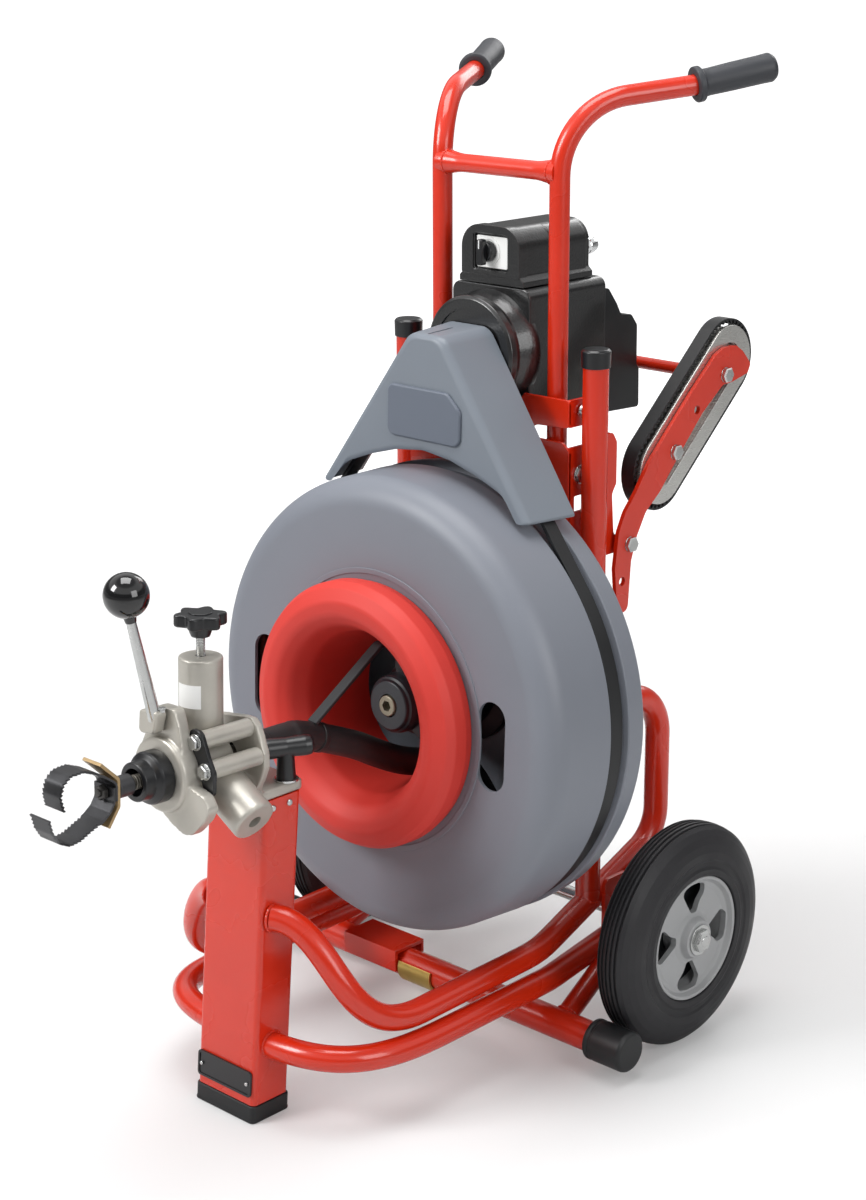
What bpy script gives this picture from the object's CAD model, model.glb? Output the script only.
# Upright drain-cleaning machine: a cable drum on a tilted axis in a tube frame with two
# wheels, a motor and switch, a belt drive, a cable feeder in front and stair climbers behind.
# Geometry is in millimetres and is scaled to metres as each piece is made. +Z is up,
# -Y is the front (feeder and cutter), +Y the rear (wheels and handle), +X the right.
import math

import bmesh
import bpy
from mathutils import Matrix, Vector
from mathutils.geometry import tessellate_polygon


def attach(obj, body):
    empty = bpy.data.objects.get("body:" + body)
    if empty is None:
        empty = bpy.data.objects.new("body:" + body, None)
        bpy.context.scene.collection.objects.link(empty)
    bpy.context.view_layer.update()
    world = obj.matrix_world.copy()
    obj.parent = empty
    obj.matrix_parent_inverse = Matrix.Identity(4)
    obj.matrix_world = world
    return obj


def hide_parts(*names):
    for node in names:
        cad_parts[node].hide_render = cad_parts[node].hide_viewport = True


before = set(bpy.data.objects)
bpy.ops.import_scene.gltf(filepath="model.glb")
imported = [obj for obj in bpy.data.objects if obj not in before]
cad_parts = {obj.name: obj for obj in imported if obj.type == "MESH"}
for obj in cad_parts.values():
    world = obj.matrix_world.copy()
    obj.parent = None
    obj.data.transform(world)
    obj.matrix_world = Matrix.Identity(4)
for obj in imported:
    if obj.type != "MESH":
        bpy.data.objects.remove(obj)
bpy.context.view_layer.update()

MM = 0.001
PI = math.pi
DEG = PI / 180
ID = Matrix.Identity(4)


# ------------------------------------------------------------------ placing
def shift(x, y, z):
    return Matrix.Translation((x, y, z))


def turn(angle, axis):
    return Matrix.Rotation(angle, 4, axis)


def swing(start, end):
    """Rotation that takes direction start to direction end."""
    return Vector(start).rotation_difference(Vector(end)).to_matrix().to_4x4()


def align(a, b):
    """Local Y axis laid from a towards b, origin at a."""
    return Matrix.Translation(a) @ swing((0, 1, 0), (b - a).normalized())


def on_xz(y):
    """Outline (x, z), thickness towards +Y."""
    return Matrix(((1, 0, 0, 0), (0, 0, 1, y), (0, 1, 0, 0), (0, 0, 0, 1)))


def on_yz(x):
    """Outline (y, z), thickness towards +X."""
    return Matrix(((0, 0, 1, x), (1, 0, 0, 0), (0, 1, 0, 0), (0, 0, 0, 1)))


def on_xy(z):
    return shift(0, 0, z)


# Drum frame: origin at the drum centre, Y along the drum axis, front end slightly raised
TILT = shift(0, 311, 385) @ turn(-0.0336, "X")


# ------------------------------------------------------------------ geometry
class Geo:
    """Vertices in millimetres, faces, and a finish name per face."""

    def __init__(self, verts=(), faces=(), finish=None):
        self.verts = [Vector(p) for p in verts]
        self.faces = [tuple(face) for face in faces]
        listed = isinstance(finish, list)
        self.finishes = list(finish) if listed else [finish] * len(self.faces)


def merge(*geos):
    out = Geo()
    for geo in geos:
        first = len(out.verts)
        out.verts += [p.copy() for p in geo.verts]
        out.faces += [tuple(i + first for i in face) for face in geo.faces]
        out.finishes += geo.finishes
    return out


def placed(geo, matrix):
    faces = geo.faces
    if matrix.to_3x3().determinant() < 0:
        faces = [tuple(reversed(face)) for face in faces]
    return Geo([matrix @ p for p in geo.verts], faces, geo.finishes)


def mirrored(geo):
    return placed(geo, Matrix.Diagonal((-1, 1, 1, 1)))


def both(*geos):
    """The parts and their mirror image in X."""
    geo = merge(*geos)
    return merge(geo, mirrored(geo))


def paint(geo, finish):
    return Geo(geo.verts, geo.faces, finish)


def mesh_of(geo, name, scale=1.0):
    """Mesh, and the finishes its material indices stand for."""
    mesh = bpy.data.meshes.new(name)
    mesh.from_pydata([p * scale for p in geo.verts], [], geo.faces)
    finishes = list(dict.fromkeys(geo.finishes))
    mesh.polygons.foreach_set("material_index", [finishes.index(x) for x in geo.finishes])
    return mesh, finishes


def edited(geo, work):
    """geo after work(bmesh)."""
    mesh, finishes = mesh_of(geo, "work")
    bm = bmesh.new()
    bm.from_mesh(mesh)
    work(bm)
    bm.verts.index_update()
    out = Geo([v.co.copy() for v in bm.verts], [[v.index for v in f.verts] for f in bm.faces],
              [finishes[f.material_index] for f in bm.faces])
    bm.free()
    bpy.data.meshes.remove(mesh)
    return out


def outward(geo, weld=True):
    """geo with its faces turned outwards."""
    def work(bm):
        if weld:
            bmesh.ops.remove_doubles(bm, verts=bm.verts, dist=1e-4)
        bmesh.ops.recalc_face_normals(bm, faces=bm.faces)
    return edited(geo, work)


def modified(geo, setup, helpers=()):
    """geo after the modifiers that setup(object, helper objects) adds."""
    objects = []
    for solid in (geo, *helpers):
        mesh, names = mesh_of(solid, "work")
        if not objects:
            finishes = names
            for _ in names:
                mesh.materials.append(None)
        ob = bpy.data.objects.new("work", mesh)
        bpy.context.scene.collection.objects.link(ob)
        objects.append(ob)
    setup(objects[0], objects[1:])
    depsgraph = bpy.context.evaluated_depsgraph_get()
    mesh = bpy.data.meshes.new_from_object(objects[0].evaluated_get(depsgraph))
    last = len(finishes) - 1
    out = Geo([v.co.copy() for v in mesh.vertices], [tuple(p.vertices) for p in mesh.polygons],
              [finishes[min(p.material_index, last)] for p in mesh.polygons])
    bpy.data.meshes.remove(mesh)
    for ob in objects:
        mesh = ob.data
        bpy.data.objects.remove(ob)
        bpy.data.meshes.remove(mesh)
    return out


def cut(geo, *tools):
    def setup(ob, helpers):
        for helper in helpers:
            mod = ob.modifiers.new("cut", "BOOLEAN")
            mod.operation = "DIFFERENCE"
            mod.solver = "EXACT"
            mod.object = helper
    return modified(geo, setup, tools)


def bevel(geo, width, segments=2, angle=32):
    def setup(ob, _):
        mod = ob.modifiers.new("bevel", "BEVEL")
        mod.width = width
        mod.segments = segments
        mod.limit_method = "ANGLE"
        mod.angle_limit = angle * DEG
        mod.use_clamp_overlap = True
        mod.miter_outer = "MITER_SHARP"
    return modified(geo, setup)


def cast(geo, smoothing):
    """Overlapping solids run together into one casting with soft fillets."""
    def setup(ob, _):
        remesh = ob.modifiers.new("remesh", "REMESH")
        remesh.mode = "VOXEL"
        remesh.voxel_size = 1.5
        remesh.adaptivity = 0.0
        smooth = ob.modifiers.new("smooth", "SMOOTH")
        smooth.factor = 0.5
        smooth.iterations = smoothing
        ob.modifiers.new("decimate", "DECIMATE").ratio = 0.6
    return paint(modified(geo, setup), None)


# ------------------------------------------------------------------ outlines
def rounded(points, steps=6, radius=0.0, loop=True):
    """Outline through (x, y[, corner radius]) points, each round corner in `steps` chords."""
    out = []
    count = len(points)
    for i, p in enumerate(points):
        want = p[2] if len(p) > 2 else radius
        if not loop and i in (0, count - 1) or want <= 0:
            out.append((p[0], p[1]))
            continue
        before, after = points[i - 1], points[(i + 1) % count]
        back = Vector((before[0] - p[0], before[1] - p[1]))
        ahead = Vector((after[0] - p[0], after[1] - p[1]))
        back_len, ahead_len = back.length, ahead.length
        back /= back_len
        ahead /= ahead_len
        half = math.acos(max(-1, min(1, back.dot(ahead)))) / 2
        if half > PI / 2 - 0.02:  # nearly straight: keep the count of points
            reach = 0.2 * min(back_len, ahead_len)
            for k in range(steps + 1):
                t = 2 * k / steps
                q = (back * (1 - t) if 2 * k < steps else ahead * (t - 1)) * reach
                out.append((p[0] + q.x, p[1] + q.y))
            continue
        # The arc takes at most 0.47 of either neighbouring edge
        reach = min(want / math.tan(half), 0.47 * back_len, 0.47 * ahead_len)
        r = reach * math.tan(half)
        corner = Vector((p[0], p[1]))
        centre = corner + (back + ahead).normalized() * (r / math.sin(half))
        start = corner + back * reach - centre
        end = corner + ahead * reach - centre
        a0, a1 = math.atan2(start.y, start.x), math.atan2(end.y, end.x)
        while a1 - a0 > PI:
            a1 -= 2 * PI
        while a1 - a0 < -PI:
            a1 += 2 * PI
        for k in range(steps + 1):
            t = a0 + (a1 - a0) * k / steps
            out.append((centre.x + r * math.cos(t), centre.y + r * math.sin(t)))
    return out


def counterclockwise(points):
    area2 = sum(p[0] * q[1] - q[0] * p[1] for p, q in zip(points, [*points[1:], points[0]]))
    return points if area2 > 0 else points[::-1]


def circle(cx, cy, r, count=40):
    angles = [2 * PI * i / count for i in range(count)]
    return [(cx + r * math.cos(a), cy + r * math.sin(a)) for a in angles]


def rrect(x0, y0, x1, y1, r, steps=6):
    """Rectangle with round corners."""
    return rounded([(x0, y0, r), (x1, y0, r), (x1, y1, r), (x0, y1, r)], steps)


def stadium(cx, cy, angle, half, r, steps=28):
    """Oval of two half circles, their centres `half` to each side of (cx, cy)."""
    points = []
    for side, start in ((half, -90), (-half, 90)):
        for i in range(steps + 1):
            a = (start + 180 * i / steps) * DEG
            points.append((side + r * math.cos(a), r * math.sin(a)))
    c, s = math.cos(angle * DEG), math.sin(angle * DEG)
    return [(cx + c * x - s * y, cy + s * x + c * y) for x, y in points]


# ------------------------------------------------------------------ solids
def skin_faces(rings, sides, loop=False, caps=True):
    """Faces of a skin through consecutive rings of `sides` vertices."""
    faces = []
    for i in range(rings if loop else rings - 1):
        p, q = i * sides, (i + 1) % rings * sides
        faces += [(p + k, p + (k + 1) % sides, q + (k + 1) % sides, q + k) for k in range(sides)]
    if caps and not loop:
        faces += [tuple(reversed(range(sides))), tuple(range((rings - 1) * sides, rings * sides))]
    return faces


def lathe(points, count=96, place=ID, finish=None, loop=True):
    """Turned about the local Y axis from (radius, y) points."""
    verts, rings, faces = [], [], []
    for r, y in points:
        if r < 1e-6:
            rings.append([len(verts)])
            verts.append((0, y, 0))
        else:
            rings.append(list(range(len(verts), len(verts) + count)))
            for k in range(count):
                a = 2 * PI * k / count
                verts.append((r * math.cos(a), y, r * math.sin(a)))
    pairs = list(zip(rings, rings[1:])) + ([(rings[-1], rings[0])] if loop else [])
    for a, b in pairs:
        if len(a) == 1 and len(b) == 1:
            continue
        for k in range(count):
            j = (k + 1) % count
            if len(a) == 1:
                faces.append((a[0], b[k], b[j]))
            elif len(b) == 1:
                faces.append((a[k], b[0], a[j]))
            else:
                faces.append((a[k], b[k], b[j], a[j]))
    return placed(outward(Geo(verts, faces, finish)), place)


def turned(points, count=96, place=ID, finish=None, steps=3):
    """Lathe of a closed (radius, y[, corner radius]) profile."""
    return lathe(rounded(points, steps), count, place, finish)


def rod(a, b, r, r2=None, sides=40, edge=0.0, finish=None):
    """Round bar from a to b, of radius r at a and r2 at b, its end edges rounded."""
    a, b = Vector(a), Vector(b)
    length = (b - a).length
    profile = [(0, 0), (r, 0, edge), (r if r2 is None else r2, length, edge), (0, length)]
    return turned(profile, sides, align(a, b), finish, 4)


def washer(a, b, r, finish=None):
    return rod(a, b, r, edge=0.4, finish=finish)


def hexhead(a, b, flats, finish=None, chamfer=0.9):
    """Hexagon head from a (seat) to b (crown), `flats` across, with a chamfered crown."""
    a, b = Vector(a), Vector(b)
    length, r = (b - a).length, flats / math.sqrt(3)
    verts = []
    for y, s in ((0, 0.93), (0.35, 1), (length - chamfer, 1), (length, 0.84)):
        for k in range(6):
            verts.append((r * s * math.cos(PI / 3 * k), y, r * s * math.sin(PI / 3 * k)))
    return placed(outward(Geo(verts, skin_faces(4, 6), finish)), align(a, b))


def box(low, high, finish=None):
    verts = [(x, y, z) for z in (low[2], high[2]) for y in (low[1], high[1])
             for x in (low[0], high[0])]
    faces = [(0, 1, 3, 2), (4, 6, 7, 5), (0, 4, 5, 1), (2, 3, 7, 6), (0, 2, 6, 4), (1, 5, 7, 3)]
    return outward(Geo(verts, faces, finish))


def plate(outline, thick, place=ID, holes=(), finish=None):
    """Flat plate in the local XY plane, thickness towards +Z, then placed."""
    loops = [counterclockwise(outline)] + [counterclockwise(hole)[::-1] for hole in holes]
    verts = [(x, y, 0) for loop in loops for x, y in loop]
    n = len(verts)
    verts += [(x, y, thick) for x, y, _ in verts]
    if holes:
        flat = [[Vector((x, y, 0)) for x, y in loop] for loop in loops]
        caps = [tuple(tri) for tri in tessellate_polygon(flat)]
    else:
        caps = [tuple(range(n))]
    faces = caps + [tuple(n + i for i in reversed(cap)) for cap in caps]
    first = 0
    for loop in loops:
        size = len(loop)
        for i in range(size):
            a, b = first + i, first + (i + 1) % size
            faces.append((a, b, n + b, n + a))
        first += size

    def work(bm):
        bmesh.ops.recalc_face_normals(bm, faces=bm.faces)
        if holes:
            flat_edges = [e for e in bm.edges if e.is_manifold and e.calc_face_angle(1) < 1e-3]
            bmesh.ops.dissolve_limit(bm, angle_limit=1e-3, verts=[], edges=flat_edges)
    return placed(edited(Geo(verts, faces, finish), work), place)


def slab(outline, thick, place, edge, segments=2, angle=32, holes=(), finish=None):
    """Plate with bevelled edges."""
    return bevel(plate(outline, thick, place, holes, finish), edge, segments, angle)


def tube(nodes, r, sides=32, loop=False):
    """Solid round bar along nodes; r is one radius or one per node."""
    nodes = [Vector(p) for p in nodes]
    n = len(nodes)
    radii = r if isinstance(r, list) else [r] * n
    along = []
    for i in range(n):
        a = nodes[i - 1] if loop or i else nodes[0]
        b = nodes[(i + 1) % n] if loop or i < n - 1 else nodes[-1]
        along.append((b - a).normalized())
    up = Vector((0, 0, 1) if abs(along[0].z) < 0.9 else (1, 0, 0))
    verts = []
    for i in range(n):
        up = (up - along[i] * up.dot(along[i])).normalized()
        side = along[i].cross(up)
        for k in range(sides):
            a = 2 * PI * k / sides
            verts.append(nodes[i] + side * (math.cos(a) * radii[i]) + up * (math.sin(a) * radii[i]))
    return outward(Geo(verts, skin_faces(n, sides, loop)), weld=False)


def bead(centre, axis, ring_r, r=1.7):
    """Rippled weld bead round a tube end."""
    ripples = 22
    centre, axis = Vector(centre), Vector(axis).normalized()
    u = axis.orthogonal().normalized()
    w = axis.cross(u)
    count = ripples * 5
    nodes, radii = [], []
    for i in range(count):
        a = 2 * PI * i / count
        nodes.append(centre + (u * math.cos(a) + w * math.sin(a)) * ring_r)
        radii.append(r * (0.86 + 0.14 * math.cos(a * ripples)))
    return tube(nodes, radii, 10, loop=True)


def loft(*sections):
    """Skin through (outline, y) sections of equal point count."""
    n, count = len(sections[0][0]), len(sections)
    verts = [(x, y, z) for outline, y in sections for x, z in outline]
    caps = [tuple(range(n)), tuple(reversed(range((count - 1) * n, count * n)))]
    return outward(Geo(verts, caps + skin_faces(count, n, caps=False)))


def ribbon(nodes, width, thick):
    """Flat bar along nodes, its width along X."""
    verts = []
    for i, p in enumerate(nodes):
        along = (nodes[min(i + 1, len(nodes) - 1)] - nodes[max(i - 1, 0)]).normalized()
        x_axis = Vector((1, 0, 0))
        a = (x_axis - along * along.dot(x_axis)).normalized()
        b = along.cross(a)
        for su, sv in ((-1, -1), (1, -1), (1, 1), (-1, 1)):
            verts.append(p + a * (su * width / 2) + b * (sv * thick / 2))
    return outward(Geo(verts, skin_faces(len(nodes), 4)))


# ------------------------------------------------------------------ paths
def bezier(a, b, c, d, steps=40):
    a, b, c, d = map(Vector, (a, b, c, d))
    out = []
    for i in range(steps + 1):
        t = i / steps
        s = 1 - t
        out.append(a * s**3 + b * 3 * s * s * t + c * 3 * s * t * t + d * t**3)
    return out


def bent(corners, step=6):
    """Nodes along (point, bend radius) corners, one about every `step` degrees of bend."""
    points = [Vector(corner[0]) for corner in corners]
    out = [points[0]]
    for i in range(1, len(points) - 1):
        p, r = points[i], corners[i][1]
        back, ahead = (points[i - 1] - p).normalized(), (points[i + 1] - p).normalized()
        half = math.acos(max(-1, min(1, back.dot(ahead)))) / 2
        bend = PI - 2 * half
        start = p + back * (r / math.tan(half))
        centre = p + (back + ahead).normalized() * (r / math.sin(half))
        count = max(2, math.ceil(bend / (step * DEG)))
        axis = (-back).cross(ahead).normalized()
        for k in range(count + 1):
            out.append(Matrix.Rotation(bend * k / count, 3, axis) @ (start - centre) + centre)
    out.append(points[-1])
    return out


def smooth_path(points, steps=8):
    """Catmull-Rom curve through the points."""
    points = [Vector(p) for p in points]
    last = len(points) - 1
    out = []
    for i in range(last):
        p0, p1, p2, p3 = (points[max(0, min(i + k, last))] for k in (-1, 0, 1, 2))
        for k in range(steps):
            t = k / steps
            out.append(0.5 * ((2 * p1) + (p2 - p0) * t + (2 * p0 - 5 * p1 + 4 * p2 - p3) * t * t
                              + (3 * p1 - p0 - 3 * p2 + p3) * t**3))
    out.append(points[-1])
    return out


# ------------------------------------------------------------------ finishes
MATERIALS = {}


def linear(rgb):
    """0-255 sRGB to linear RGB."""
    unit = [c / 255 for c in rgb]
    return tuple(c / 12.92 if c <= 0.04045 else ((c + 0.055) / 1.055) ** 2.4 for c in unit)


def new_material(name):
    material = bpy.data.materials.new(name)
    material.use_nodes = True
    nodes = material.node_tree.nodes
    return material, next(n for n in nodes if n.type == "BSDF_PRINCIPLED")


def feed(tree, node, inputs):
    """Link the inputs given as sockets and set the others."""
    for key, value in inputs.items():
        if isinstance(value, bpy.types.NodeSocket):
            tree.links.new(value, node.inputs[key])
        else:
            node.inputs[key].default_value = value


def add_node(tree, kind, inputs, **settings):
    node = tree.nodes.new("ShaderNode" + kind)
    for key, value in settings.items():
        setattr(node, key, value)
    feed(tree, node, inputs)
    return node


def spread(tree, value, low, high):
    """Noise contrast stretched to run from low to high."""
    return add_node(tree, "MapRange", {"Value": value, "From Min": 0.3, "From Max": 0.7,
                                       "To Min": low, "To Max": high}).outputs["Result"]


def finish(name, rgb, slot=None, rough=0.4, metal=0.0, bump=0.1, bump_depth=0.0004, grain=700.0,
           grain_detail=3.0, tint=0.06, tint_scale=9.0, rough_var=0.06, coat=0.0, coat_rough=0.08,
           stretch=None, wave=None):
    """Procedural material.
    """
    material, surface = new_material(name)
    tree = material.node_tree
    coords = tree.nodes.new("ShaderNodeTexCoord").outputs["Object"]
    broad = add_node(tree, "TexNoise", {"Scale": tint_scale, "Detail": 3, "Vector": coords})
    factor = spread(tree, broad.outputs["Fac"], 1 - tint, 1 + tint)
    colour = add_node(tree, "VectorMath", {0: linear(rgb), "Scale": factor}, operation="SCALE")
    fine = add_node(tree, "TexNoise", {"Scale": grain, "Detail": grain_detail})
    fine_coords = coords
    if stretch:
        mapping = {"Scale": stretch[0], "Rotation": stretch[1], "Vector": coords}
        fine_coords = add_node(tree, "Mapping", mapping).outputs["Vector"]
    feed(tree, fine, {"Vector": fine_coords})
    roughness = spread(tree, (fine if stretch else broad).outputs["Fac"],
                       max(0.02, rough - rough_var), min(1, rough + rough_var))
    relief = add_node(tree, "Bump", {"Strength": bump, "Distance": bump_depth,
                                     "Height": fine.outputs["Fac"]})
    if wave:
        slow = add_node(tree, "TexNoise", {"Scale": wave[0], "Detail": 1, "Vector": coords})
        relief = add_node(tree, "Bump", {"Strength": wave[1], "Distance": 0.003,
                                         "Height": slow.outputs["Fac"],
                                         "Normal": relief.outputs["Normal"]})
    feed(tree, surface, {
        "Base Color": colour.outputs["Vector"], "Roughness": roughness, "Metallic": metal,
        "Normal": relief.outputs["Normal"], "Coat Weight": coat, "Coat Roughness": coat_rough})
    MATERIALS[name] = material


# Paint and plastics
finish("red_powder_coat", (208, 42, 12), "red_paint", rough=0.27, bump=0.06, grain=420,
       grain_detail=2, tint=0.05, coat=0.35, coat_rough=0.12, wave=(45, 0.015))
finish("red_moulding", (206, 52, 42), "red_plastic", rough=0.58, bump=0.04, grain=600,
       tint=0.05, tint_scale=6, coat_rough=0.3, wave=(22, 0.02))
finish("drum_grey", (122, 126, 135), "grey_plastic", rough=0.46, grain=1300, tint=0.04,
       tint_scale=5, wave=(14, 0.03))
finish("guard_grey", (118, 125, 134), "guard_plastic", bump=0.08, grain=1500, tint=0.03,
       tint_scale=6)
finish("guard_panel", (98, 105, 117), rough=0.38, bump=0.06, grain=1500, tint=0.03, tint_scale=6)
finish("black_cast", (22, 22, 23), "black_cast", rough=0.30, bump=0.60, bump_depth=0.0006,
       grain=420, tint=0.10, coat=0.7, coat_rough=0.14)
finish("black_moulding", (18, 19, 22), "black_plastic", rough=0.32, bump=0.12, grain=900,
       tint=0.10, coat=0.15, coat_rough=0.15)
finish("ball_black", (12, 12, 14), rough=0.10, bump=0.0, tint=0.05, coat=0.6, coat_rough=0.03)
finish("drum_dark", (24, 27, 30), "black_plastic", rough=0.5, bump=0.15, tint=0.12)
finish("hub_core", (44, 47, 52), "black_plastic", bump=0.15, grain=600, tint=0.10)
finish("rubber_black", (18, 19, 21), "rubber", rough=0.46, bump=0.14, grain=850, tint=0.12)
finish("tyre_black", (21, 20, 24), "tyre_rubber", rough=0.50, bump=0.20, grain=600, tint=0.10,
       tint_scale=14, rough_var=0.10)
finish("grip_grey", (50, 52, 57), "grip_vinyl", rough=0.48, bump=0.22, grain=1400)
finish("wheel_grey", (158, 159, 160), "hub_plastic", rough=0.42, grain=900, tint=0.04)
finish("white_moulding", (246, 246, 244), "white_plastic", bump=0.05, grain=900, tint=0.02)
# Metals
finish("cast_alloy", (186, 182, 173), "cast_aluminium", rough=0.38, metal=0.45, bump=0.22,
       grain=380, grain_detail=4, tint=0.08, tint_scale=30, rough_var=0.10)
finish("bright_alloy", (208, 207, 203), "bright_aluminium", rough=0.30, metal=0.9, grain=60,
       stretch=((1, 1, 26), (43 * DEG, 0, 0)), tint_scale=18, rough_var=0.10)
finish("zinc_bright", (200, 201, 200), "zinc", rough=0.24, metal=1.0, bump=0.05, grain=500,
       tint=0.10, tint_scale=60, rough_var=0.08)
finish("chrome_bright", (228, 229, 230), rough=0.10, metal=1.0, bump=0.0, tint=0.03)
finish("steel_wire", (120, 116, 108), "steel", rough=0.42, metal=0.85, bump=0.20, grain=800,
       tint=0.22, tint_scale=60, rough_var=0.12)
finish("blade_steel", (74, 74, 76), "steel", rough=0.38, metal=0.8, bump=0.20, grain=420,
       tint=0.16, tint_scale=50, rough_var=0.10)
finish("dark_bolt", (78, 76, 74), metal=0.7, bump=0.15, grain=500, tint=0.15, tint_scale=60)
finish("spindle_steel", (150, 144, 126), "zinc", rough=0.42, metal=0.6, bump=0.12, grain=400,
       tint=0.14, tint_scale=40)
finish("brass_plate", (172, 145, 104), "brass", metal=0.45, bump=0.12, grain=500, tint=0.12,
       tint_scale=50)
finish("yellow_zinc", (196, 170, 96), "yellow_zinc", rough=0.34, metal=0.8, bump=0.08,
       grain=400, tint=0.14, tint_scale=40)
ZINC = "zinc_bright"


# ------------------------------------------------------------------ pieces
def piece(name, body, node, geos, main, angle=34, weighted=True):
    """One visible piece: geometry, finishes, shading, the body it rides on, its CAD node."""
    mesh, finishes = mesh_of(merge(*geos), name, MM)
    for own in finishes:
        mesh.materials.append(MATERIALS[own or main])
    ob = bpy.data.objects.new(name, mesh)
    bpy.context.scene.collection.objects.link(ob)
    mesh.validate()
    mesh.shade_smooth()
    mesh.set_sharp_from_angle(angle=angle * DEG)
    if weighted:
        mod = ob.modifiers.new("wn", "WEIGHTED_NORMAL")
        mod.keep_sharp = True
        mod.weight = 80
    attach(ob, body)
    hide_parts(node)


def pair(name, body, node, geos, main, **shading):
    """The same piece on the right (+X) and, mirrored, on the left."""
    geo = merge(*geos)
    for tag, sided in (("right", geo), ("left", mirrored(geo))):
        piece(f"{name}_{tag}", body.format(tag), f"{node}_{tag}", [sided], main, **shading)


def tilted(name, body, node, geos, main, **shading):
    """A piece modelled in the drum frame."""
    piece(name, body, node, [placed(merge(*geos), TILT)], main, **shading)


# ------------------------------------------------------------------ frame
TUBE_R = 14
SIDE_X = 137  # side frame tubes
LOW_X = 150  # lower tubes
POST_Y, POST_FOOT, POST_TOP = 405, 143, 754
FOOT_Y, FOOT_Z = 314, 35.5  # foot bar
AXLE_Y, AXLE_Z = 434.5, 127
COLUMN_X, COLUMN_Y, COLUMN_WALL = 44, 25, 3  # half sizes and wall of the front column
LEAN = Matrix(((1, 0, 0, 0), (0, 1, 30 / 352, 0), (0, 0, 1, 0), (0, 0, 0, 1)))


def column_section(grow, r, steps=6):
    x, y = COLUMN_X + grow, COLUMN_Y + grow
    return rrect(-x, -y, x, y, r, steps)


# Side frame: tube from the column back under the drum, up and over to the post
side_path = bezier((43.5, 10, 224), (100, 46, 222), (SIDE_X, 14, 105.5), (SIDE_X, 131, 105.5))
side_path += bent([
    ((SIDE_X, 131, 105.5), 0), ((SIDE_X, 322, 109), 120), ((SIDE_X, 526, 190), 48),
    ((SIDE_X, 526, 366), 55), ((SIDE_X, 408, 366), 0)])[1:]
gusset = [  # y, z, corner radius
    (413, 545), (458, 545, 3), (466, 553, 5), (458, 563, 8), (431, 563, 8), (427, 612, 12),
    (434, 622, 7), (434, 668, 7), (427, 679, 5), (413, 679)]
pair("side_frame_tube", "frame", "side_frame", [
    tube(side_path, TUBE_R, 48),
    rod((SIDE_X, POST_Y, POST_FOOT), (SIDE_X, POST_Y, POST_TOP), TUBE_R, sides=48),
    slab(rounded(gusset), 5, on_yz(139), 0.6, holes=[circle(445, 552, 4.8, 24)]),
    bead((44.3, 10.6, 223.8), (1, 0.3, 0), 14.2),
    bead((SIDE_X, 418.5, 366), (0, 1, 0), 13.6),
    bead((SIDE_X, POST_Y, 143.5), (0, 0.3, 1), 14.2)], "red_powder_coat")

# Base: column, lower tubes, axle plates, foot bar and a hooked bracket on the left
low_path = bezier((41.5, 5, 81), (144, 4, 86), (LOW_X, 70, 77.5), (LOW_X, 150, 77.5))
low_path += bent([((LOW_X, 150, 77.5), 0), ((LOW_X, 325, 78.5), 120), ((LOW_X, 458, 99), 0)])[1:]
brace_axis = (-0.1, 1, 0.46)
bracket = [(292, 30), (296.5, 30), (296.5, 51.5), (336, 51.5), (336, 40), (340, 40), (340, 56),
           (292, 56)]
piece("base_weldment", "frame", "base_frame", [
    slab(column_section(0, 6, 8), 332.5, LEAN @ on_xy(19), 0.5,
         holes=[column_section(-COLUMN_WALL, 3, 5)]),
    *[rod((43.6, y, 343), (46.4, y, 343), 3.6, edge=1.2, sides=24, finish=ZINC)
      for y in (14, 37)],
    both(tube(low_path, TUBE_R, 48), tube([(176, 314, 35.5), (163, 442, 96)], 12, 40),
         slab(rrect(412, 90, 456, 170, 8), 5, on_yz(152), 0.6,
              holes=[circle(AXLE_Y, AXLE_Z, 8.4, 32)]),
         bead((44.3, 5.3, 81.6), (1, 0, 0), 14.2),
         bead((174.6, 328, 42), brace_axis, 12.2), bead((164.6, 427, 89), brace_axis, 12.2)),
    slab(bracket, 84, on_yz(-140), 0.6),
    rod((-263, FOOT_Y, FOOT_Z), (263, FOOT_Y, FOOT_Z), 17, sides=56)], "red_powder_coat")

# Rubber foot under the column
piece("column_foot", "frame", "front_foot_pad", [
    slab(column_section(1.5, 6), 18.6, LEAN, 1.6, 3),
    slab(column_section(1.9, 6), 3.2, LEAN, 1.0)], "rubber_black")

# Blank badge with a raised rim, on the column's front face
badge = rrect(-41, 29, 41, 57, 4)
badge = merge(
    slab(badge, 1.6, on_xz(-27), 0.4),
    slab(badge, 1.0, on_xz(-28), 0.3, 2, 50, [rrect(-38.6, 31.4, 38.6, 54.6, 2.6)]),
    *[rod((x, -27.6, 43), (x, -29, 43), 2.2, edge=0.8, sides=20, finish=ZINC)
      for x in (-35, 35)])
piece("blank_badge", "frame", "badge_plate", [placed(badge, LEAN)], "black_moulding")

# Foot bar caps and clip
cap = [  # radius, y, corner radius
    (17.6, 0), (23, 0, 1.2), (23, 4, .6), (22.2, 5, .5), (22.2, 8, .5), (23, 9, .6), (23, 50, 5),
    (0, 50), (0, 37.6), (17.6, 37.6)]
cap_place = shift(226, FOOT_Y, FOOT_Z) @ turn(-PI / 2, "Z")
pair("bar_cap", "frame", "foot_bar_cap", [turned(cap, 72, cap_place)], "rubber_black")


def clip_arc(r):
    angles = [PI * 0.86 + (PI * 1.28) * i / 40 for i in range(41)]
    return [(FOOT_Y + r * math.cos(a), FOOT_Z + r * math.sin(a)) for a in angles]


piece("bar_clip", "frame", "foot_bar_clip",
      [slab(clip_arc(20.6) + clip_arc(17.6)[::-1], 50, on_yz(-54), 0.5)], "yellow_zinc")

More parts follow.
